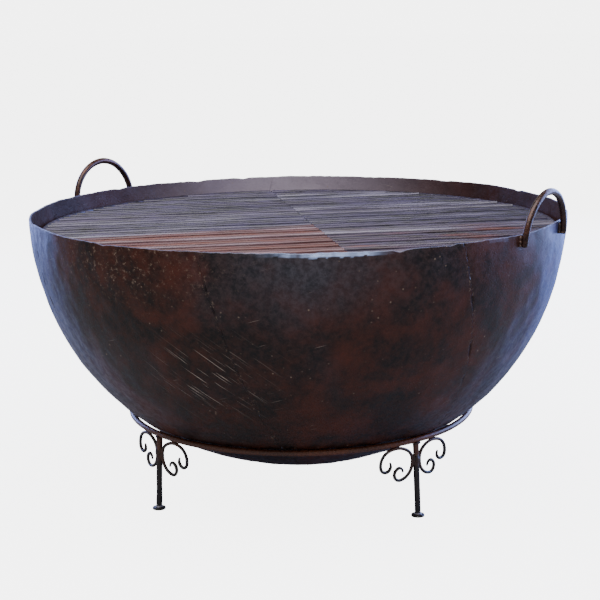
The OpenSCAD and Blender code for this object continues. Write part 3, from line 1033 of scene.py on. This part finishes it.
# %% The bars of the grate
def grate_rust(half, v, u):
    """Rust from 0 to 1: strong on the front of the left half, and in patches near the front of the right."""
    front = (half == "left") * ramp(0.020, 0.050, 0.12 * (u + 0.10) - v)
    lot = np.sin(v * 911.0 + 3.7 * (half == "left")) * 0.5 + 0.5
    patch = np.clip(waves(np.stack([u, np.full_like(u, v * 8)], -1), 0.16, 101) - 0.2, 0, 1)
    near = (half == "right") * ramp(0.04, 0.18, -v)
    return np.clip(front * (0.72 + 0.28 * lot) + near * (0.2 + patch) * (0.3 + 0.6 * lot), 0, 1)


def grate_bare(lot, u, v):
    """Painted highlight, 0 to 1: light along some bars, fading in and out, for the shine of their tops."""
    line = np.stack([u, np.full_like(u, v * 5)], -1)
    return 0.24 * ramp(0.5, 1.0, lot) * np.clip(0.6 + 0.5 * waves(line, 0.20, 107), 0, 1)


def grate_bars(half, sides=12, steps=46):
    """Straight bars from the half's edge to the frame, each a little uneven, as one set of arrays."""
    sign = 1 if half == "right" else -1
    edge = GAP_PLACE + sign * GAP / 2
    draw = np.random.default_rng(111 if half == "left" else 112)
    parts, rusts, bares = [], [], []
    for number in range(-BARS_A_SIDE, BARS_A_SIDE + 1):
        v = number * PITCH
        end = sign * math.sqrt((GRATE_RADIUS - 0.001) ** 2 - v * v)
        lift, slant = draw.uniform(-0.0006, 0.0010), draw.uniform(-0.0007, 0.0007)
        u = np.linspace(edge - sign * END_REACH, end, steps)
        share = np.linspace(-1, 1, steps)
        line = np.stack([u, np.full_like(u, v)], -1)
        sideways = slant * share + 0.0007 * waves(line, 0.5, 120 + number)
        path = on_grate(u, v + sideways, BARS_Z + lift + 0.0005 * waves(line, 0.35, 160 + number))
        radius = forged(path, BAR * 0.98, sides, 200 + number, 0.035)
        parts.append(sweep(path, [0, 0, 1], radius, sides, ends=0.03))
        # The second mask is a painted highlight: light lines along some bars.
        rust, bare = grate_rust(half, v, u), grate_bare(draw.uniform(), u, v)
        rusts.append(on_rings(rust, sides))
        bares.append(on_rings(bare, sides))
    return joined(parts), np.concatenate(rusts), np.concatenate(bares)


for half in ("left", "right"):
    arrays, rust, bare = grate_bars(half)
    bars = place(make_piece(f"bars_{half}", *arrays, rust=rust, bare=bare), f"grate_{half}", "grate_bar",
                 [f"grate_{half}_bars"])
print("bars of a half:", 2 * BARS_A_SIDE + 1, "with", len(bars.data.polygons), "faces")

# %% The frame of each half
def grate_rim(half, steps=180):
    """The half-moon rim bar, from the straight edge round to it."""
    sign = 1 if half == "right" else -1
    edge = GAP_PLACE + sign * GAP / 2
    start = math.asin(edge / GRATE_RADIUS)
    angle = np.linspace(start, math.pi - start, steps) if half == "right" else np.linspace(
        math.pi - start, 2 * math.pi + start, steps)
    path = on_grate(GRATE_RADIUS * np.sin(angle), -GRATE_RADIUS * np.cos(angle), BARS_Z)
    return sweep(path, [0, 0, 1], forged(path, BAR * 0.985, 12, 301, 0.03), 12)


def under_bar(place_u, seed, steps=60):
    """A straight bar under the others, reaching under the rim bar at both ends."""
    reach = math.sqrt(GRATE_RADIUS ** 2 - (abs(place_u) + BAR) ** 2)
    v = np.linspace(-reach, reach, steps)
    path = on_grate(place_u, v, UNDER_Z)
    return sweep(path, [0, 0, 1], forged(path, BAR * 0.985, 12, seed, 0.03), 12)


for half in ("left", "right"):
    sign = 1 if half == "right" else -1
    edge_place = GAP_PLACE + sign * (GAP / 2 + BAR)
    place(make_piece(f"rim_bar_{half}", *grate_rim(half)), f"grate_{half}", "grate_bar",
          [f"grate_{half}_rim"])
    place(make_piece(f"edge_bar_{half}", *under_bar(edge_place, 303)), f"grate_{half}", "grate_bar",
          [f"grate_{half}_edge_bar"])
    place(make_piece(f"cross_bar_{half}", *under_bar(sign * CROSS_PLACE, 305)), f"grate_{half}", "grate_bar",
          [f"grate_{half}_cross_bar"])
print("frames: 2")

# %% [markdown]
# ## The stand
#
# The stand is a ring of bar on four short legs, each with a foot disc, and a pair of scrolls bent from
# thinner bar. The ring is a circle swept round, and its bar is closed by one weld.

# %% The ring
def stand_ring(steps=520, sides=16):
    """The ring's bar, uneven by the hammer."""
    turn = np.linspace(0, 2 * math.pi, steps, endpoint=False)
    path = around(turn, RING_RADIUS, RING_Z)
    radius = RING_BAR * (0.985 + 0.012 * waves(skin(path, sides), 0.05, 401))
    rust = np.clip(0.85 + 0.3 * waves(path, 0.13, 403), 0, 1).repeat(sides)
    points, quads, triangles = sweep(path, np.array([0, 0, 1.0]), radius, sides, closed=True)
    return make_piece("ring_bar", points, quads, triangles, rust=rust)


ring = place(stand_ring(), "stand", "stand_bar", ["stand_ring"])
print("ring:", len(ring.data.polygons), "faces")

# %% [markdown]
# ### Legs, feet and scrolls
#
# A scroll is a chain of arcs whose radii shrink towards its tips, and each tip is drawn out thinner. The
# chain is walked once in its own plane, as small steps of heading, and each scroll is that walk put beside
# its leg, mirrored on the left.

# %% The chain of arcs of a scroll
LEG = 0.0055
SCROLL_BAR = 0.003
SCROLL_TIP = 0.00175
UPPER = [(24, 56), (45, 58), (25, 75), (11, 143), (9.5, 70)]
LOWER = [(50, 9), (29, 76), (11.5, 165), (8, 120)]
STEP = 6.0


def walk(arcs):
    """Points of a chain of arcs of (radius in mm, degrees) from the weld, bending right, heading up first;
    and the length walked to each point."""
    headings, radii = [], []
    for radius, degrees in arcs:
        count = math.ceil(degrees / STEP)
        headings += [degrees / count] * count
        radii += [radius] * count
    turn = np.radians(np.array(headings))
    heading = math.pi / 2 - np.concatenate([[0], np.cumsum(turn)])
    chord = 2 * np.array(radii) * np.sin(turn / 2) / 1000
    middle_heading = (heading[:-1] + heading[1:]) / 2
    steps = chord[:, None] * np.stack([np.cos(middle_heading), np.sin(middle_heading)], -1)
    return np.vstack([[0, 0], np.cumsum(steps, 0)]), np.concatenate([[0], np.cumsum(chord)])


def scroll_walk():
    """The whole scroll in its plane, from the upper tip to the lower one, and its bar's radius."""
    upper, upper_length = walk(UPPER)
    lower, lower_length = walk(LOWER)
    radii = []
    for arcs, length in ((UPPER, upper_length), (LOWER, lower_length)):
        last = arcs[-1][0] / 1000 * math.radians(arcs[-1][1])
        thin = np.clip((length - (length[-1] - last)) / last, 0, 1)
        radii.append(SCROLL_BAR + (SCROLL_TIP - SCROLL_BAR) * thin)
    points = np.vstack([upper[::-1], lower[1:] * [1, -1]])
    return points, np.concatenate([radii[0][::-1], radii[1][1:]])


SCROLL_POINTS, SCROLL_RADII = scroll_walk()
print("a scroll has", len(SCROLL_POINTS), "rings")

# %% Legs, feet, scrolls and their welds
LEG_TOP = RING_Z - RING_BAR * 0.6
FOOT_HIGH = 0.004
SCROLL_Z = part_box("scroll_1_right")[1].z - SCROLL_BAR - SCROLL_POINTS[:, 1].max()
SPLAY = math.radians(2.5)


def leg_out(z):
    """How far out of the ring's circle a leg is at a height: it leans out towards its foot."""
    return (RING_Z - z) * math.tan(SPLAY)


def at_leg(number, along, out, z, level=None):
    """A point beside a leg: along the ring's tangent, out from the leg's middle, and a height. The middle
    is taken at that height, or at a level."""
    foot_middle = middle(f"foot_{number}")
    outward = np.array(foot_middle.xy.normalized())
    tangent = np.array([-outward[1], outward[0]])
    along, out, z = np.broadcast_arrays(along, out, z)
    from_axis = RING_RADIUS + leg_out(z if level is None else level) + out
    flat = along[..., None] * tangent + from_axis[..., None] * outward
    return np.concatenate([flat, z[..., None]], -1)


SCROLL_REACH = LEG + SCROLL_BAR + SCROLL_POINTS[np.argmax(SCROLL_POINTS[:, 1]), 0]
SWING = math.asin(SCROLL_REACH / (2 * RING_RADIUS) + leg_out(SCROLL_Z) / SCROLL_REACH)


def leg(number, steps=40, sides=16):
    """A straight bar from the foot disc to the ring, with rust near its top."""
    z = np.linspace(FOOT_HIGH - 0.0005, LEG_TOP, steps)
    path = at_leg(number, 0.0003 * waves(z[:, None], 0.1, 500 + number), 0.0, z)
    rust = 0.75 * ramp(0.085, 0.115, z)
    radius = forged(path, LEG * 0.985, sides, 510 + number)
    points, quads, triangles = sweep(path, [0.3, 1, 0], radius, sides)
    return make_piece(f"leg_bar_{number}", points, quads, triangles, rust=on_rings(rust, sides))


def foot(number, sides=48):
    """A forged disc with soft edges: a profile of radius and height carried round the leg."""
    profile = np.array([[0.0, 0], [0.0106, 0], [0.0117, 0.0004], [0.012, 0.0012], [0.012, 0.0027],
                        [0.0116, 0.0036], [0.0105, 0.004], [0.0078, 0.0041], [0.0066, 0.0052],
                        [0.0056, 0.0072]])
    angle = np.linspace(0, 2 * math.pi, sides, endpoint=False)
    uneven = 1 + 0.012 * waves(np.stack([np.cos(angle), np.sin(angle)], -1), 1.5, 520 + number)
    radius = profile[1:, :1] * uneven[None]
    height = profile[1:, 1:] + 0 * radius
    points = at_leg(number, radius * np.cos(angle), radius * np.sin(angle), height, 0.0)
    poles = at_leg(number, np.zeros(2), np.zeros(2), np.array([0, profile[-1, 1]]), 0.0)
    rows = len(profile) - 1
    triangles = pole_fans(sides, (rows - 1) * sides, rows * sides)
    points = np.vstack([points.reshape(-1, 3), poles])
    # Painted highlight: the two top rows round the leg are painted lighter, where the neck of the disc
    # shines.
    bare = np.concatenate([np.zeros(7 * sides), np.full(2 * sides, 0.25), [0, 0]])
    return make_piece(f"foot_disc_{number}", points, grid_quads(rows, sides, round_columns=True), triangles,
                      bare=bare)


def scroll(number, side, sides=14):
    """The scroll's walk put beside a leg, swung in so that its top lies under the ring."""
    mirror = 1 if side == "right" else -1
    along = LEG + SCROLL_BAR + SCROLL_POINTS[:, 0]
    path = at_leg(number, mirror * along * math.cos(SWING), -along * math.sin(SWING),
                  SCROLL_Z + SCROLL_POINTS[:, 1], SCROLL_Z)
    ends = at_leg(number, np.array([0, mirror * math.cos(SWING)]), np.array([0, -math.sin(SWING)]), 0.0)
    flat = ends[1] - ends[0]
    across = np.array([flat[1], -flat[0], 0])
    radius = SCROLL_RADII[:, None] * (1 + 0.03 * waves(path, 0.03, 540 + number))[:, None]
    points, quads, triangles = sweep(path, across, radius[:, 0], sides, ends=0.6)
    rust = 0.6 * ramp(0.122, 0.134, path[:, 2]) + 0.35 * np.exp(-((along - 0.0085) / 0.006) ** 2)
    return make_piece(f"scroll_bar_{number}_{side}", points, quads, triangles, rust=on_rings(rust, sides))


for number in range(1, 5):
    place(leg(number), "stand", "stand_bar", [f"leg_{number}"])
    place(foot(number), "stand", "stand_bar", [f"foot_{number}"])
    for side in ("left", "right"):
        place(scroll(number, side), "stand", "stand_bar", [f"scroll_{number}_{side}"])
print("legs: 4")

# %% [markdown]
# ### Lumps of weld
#
# Where bars cross, the stand is joined by lumps of weld. A lump is a ball squeezed to its size whose radius
# is moved by waves, and both poles are closed by fans.

# %% Weld lumps
def lump(centre, half_sizes, axes, seed, rows=18, columns=28):
    """A squeezed ball: half_sizes along three axes, with its surface moved in and out by waves."""
    latitude = np.linspace(0, math.pi, rows + 2)[1:-1, None]
    longitude = np.linspace(0, 2 * math.pi, columns, endpoint=False)[None, :]
    ball = np.stack(np.broadcast_arrays(np.sin(latitude) * np.cos(longitude),
                                        np.sin(latitude) * np.sin(longitude), np.cos(latitude)), -1)
    ball = np.vstack([ball.reshape(-1, 3), [[0, 0, 1], [0, 0, -1]]])
    ball = ball * (1 + 0.10 * waves(ball, 1.1, seed) + 0.05 * waves(ball, 0.45, seed + 1))[:, None]
    points = np.asarray(centre) + (ball * half_sizes) @ np.asarray(axes)
    triangles = pole_fans(columns, (rows - 1) * columns, rows * columns, mirrored=True)
    return points, grid_quads(rows, columns, round_columns=True), triangles


def leg_axes(number):
    """The tangent, the outward and the up direction at a leg."""
    corners = at_leg(number, np.array([0, 1, 0]), np.array([0, 0, 1]), 0.0)
    return np.array([corners[1] - corners[0], corners[2] - corners[0], [0, 0, 1]])


for number in range(1, 5):
    axes = leg_axes(number)
    middle_weld = at_leg(number, np.zeros(1), np.zeros(1), SCROLL_Z)[0]
    parts = [lump(middle_weld, (0.0075, 0.0064, 0.0125), axes, 600 + number)]
    for sign in (-1, 1):
        beside = at_leg(number, np.array([sign * 0.0062]), np.zeros(1), SCROLL_Z + 0.001)[0]
        parts.append(lump(beside, (0.0032, 0.0042, 0.0115), axes, 610 + 2 * number + sign))
    top_weld = at_leg(number, np.zeros(1), np.zeros(1), RING_Z - RING_BAR)[0]
    parts.append(lump(top_weld, (0.0085, 0.0068, 0.0035), axes, 640 + number))
    place(make_piece(f"leg_weld_{number}", *joined(parts)), "stand", "stand_bar", finish=WELD_FINISH)
print("weld lumps at 4 legs")

# %% [markdown]
# ## The lugs
#
# The lugs under the grate are short strips of plate. Their shape is right as it is, so they keep their
# mesh from the frame and only get the weld finish.

# %% Finish of the nodes that are kept
for name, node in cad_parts.items():
    if name.startswith("grate_lug"):
        node.data.materials.clear()
        node.data.materials.append(WELD_FINISH)
print("lugs finished")

# %% [markdown]
# ## Floor, light and camera
#
# The pit stands on a plain pale floor under soft studio light: one wide soft box above and in front, a cool
# one at either side for the sheen on the steel, and a pale world that fills the shadows.

# %% The floor
def floor():
    """A wide pale floor just under the feet. It glows for the camera only, so that it runs into the backdrop
    without a line."""
    half = 30.0
    points = np.array([[-half, -half, 0], [half, -half, 0], [half, half, 0], [-half, half, 0]])
    mesh = bpy.data.meshes.new("floor")
    mesh.from_pydata(points.tolist(), [], [(0, 1, 2, 3)])
    piece = bpy.data.objects.new("floor", mesh)
    bpy.context.scene.collection.objects.link(piece)
    material, tree, shader = new_material("floor", Roughness=0.9)[:3]
    shader.inputs["Base Color"].default_value = rgb(0.30, 0.30, 0.30)
    shader.inputs["Emission Color"].default_value = rgb(1, 1, 1)
    seen = add_node(tree, "ShaderNodeLightPath").outputs["Is Camera Ray"]
    connect(tree, shader, Emission_Strength=sum_of(tree, "MULTIPLY", seen, 5.0))
    mesh.materials.append(material)


floor()
print("floor laid")

# %% The lights and the world
def soft_box(name, place_at, aim, size, power, colour):
    """A square area light at a place, turned to an aim."""
    light = bpy.data.lights.new(name, "AREA")
    light.shape = "RECTANGLE"
    light.size, light.size_y = size
    light.energy = power
    light.color = colour
    lamp = bpy.data.objects.new(name, light)
    lamp.location = place_at
    lamp.rotation_euler = (Vector(aim) - Vector(place_at)).to_track_quat("-Z", "Y").to_euler()
    lamp.visible_camera = False
    bpy.context.scene.collection.objects.link(lamp)


soft_box("top", (-0.2, -0.9, 3.0), (0, 0, 0.4), (3.4, 2.8), 185, (1.0, 0.99, 0.98))
soft_box("right", (2.3, 1.6, 0.9), (0, 0, 0.3), (3.6, 2.4), 230, (0.32, 0.45, 1.0))
soft_box("left", (-2.0, 2.0, 0.9), (0, 0, 0.3), (1.4, 2.2), 60, (0.32, 0.42, 1.0))
world = bpy.data.worlds.new("studio")
world.use_nodes = True
backdrop = world.node_tree.nodes["Background"]
backdrop.inputs[0].default_value = rgb(1, 1, 1)
seen = add_node(world.node_tree, "ShaderNodeLightPath").outputs["Is Camera Ray"]
world.node_tree.links.new(sum_of(world.node_tree, "MULTIPLY_ADD", seen, 4.8, 0.45), backdrop.inputs[1])
bpy.context.scene.world = world

# %% The camera
def camera(place_at, turn, down, roll, lens):
    """A camera at a place that looks along +Y, turned to the right and down, and rolled."""
    data = bpy.data.cameras.new("camera")
    data.lens = lens
    data.sensor_width = 36
    eye = bpy.data.objects.new("camera", data)
    eye.matrix_world = (Matrix.Translation(place_at) @ Matrix.Rotation(-turn, 4, "Z")
                        @ Matrix.Rotation(math.pi / 2 - down, 4, "X") @ Matrix.Rotation(roll, 4, "Z"))
    bpy.context.scene.collection.objects.link(eye)
    bpy.context.scene.camera = eye


camera((0.0894, -2.7316, 0.9135), -0.0326, 0.2062, -0.0139, 87.63)
print("camera set")
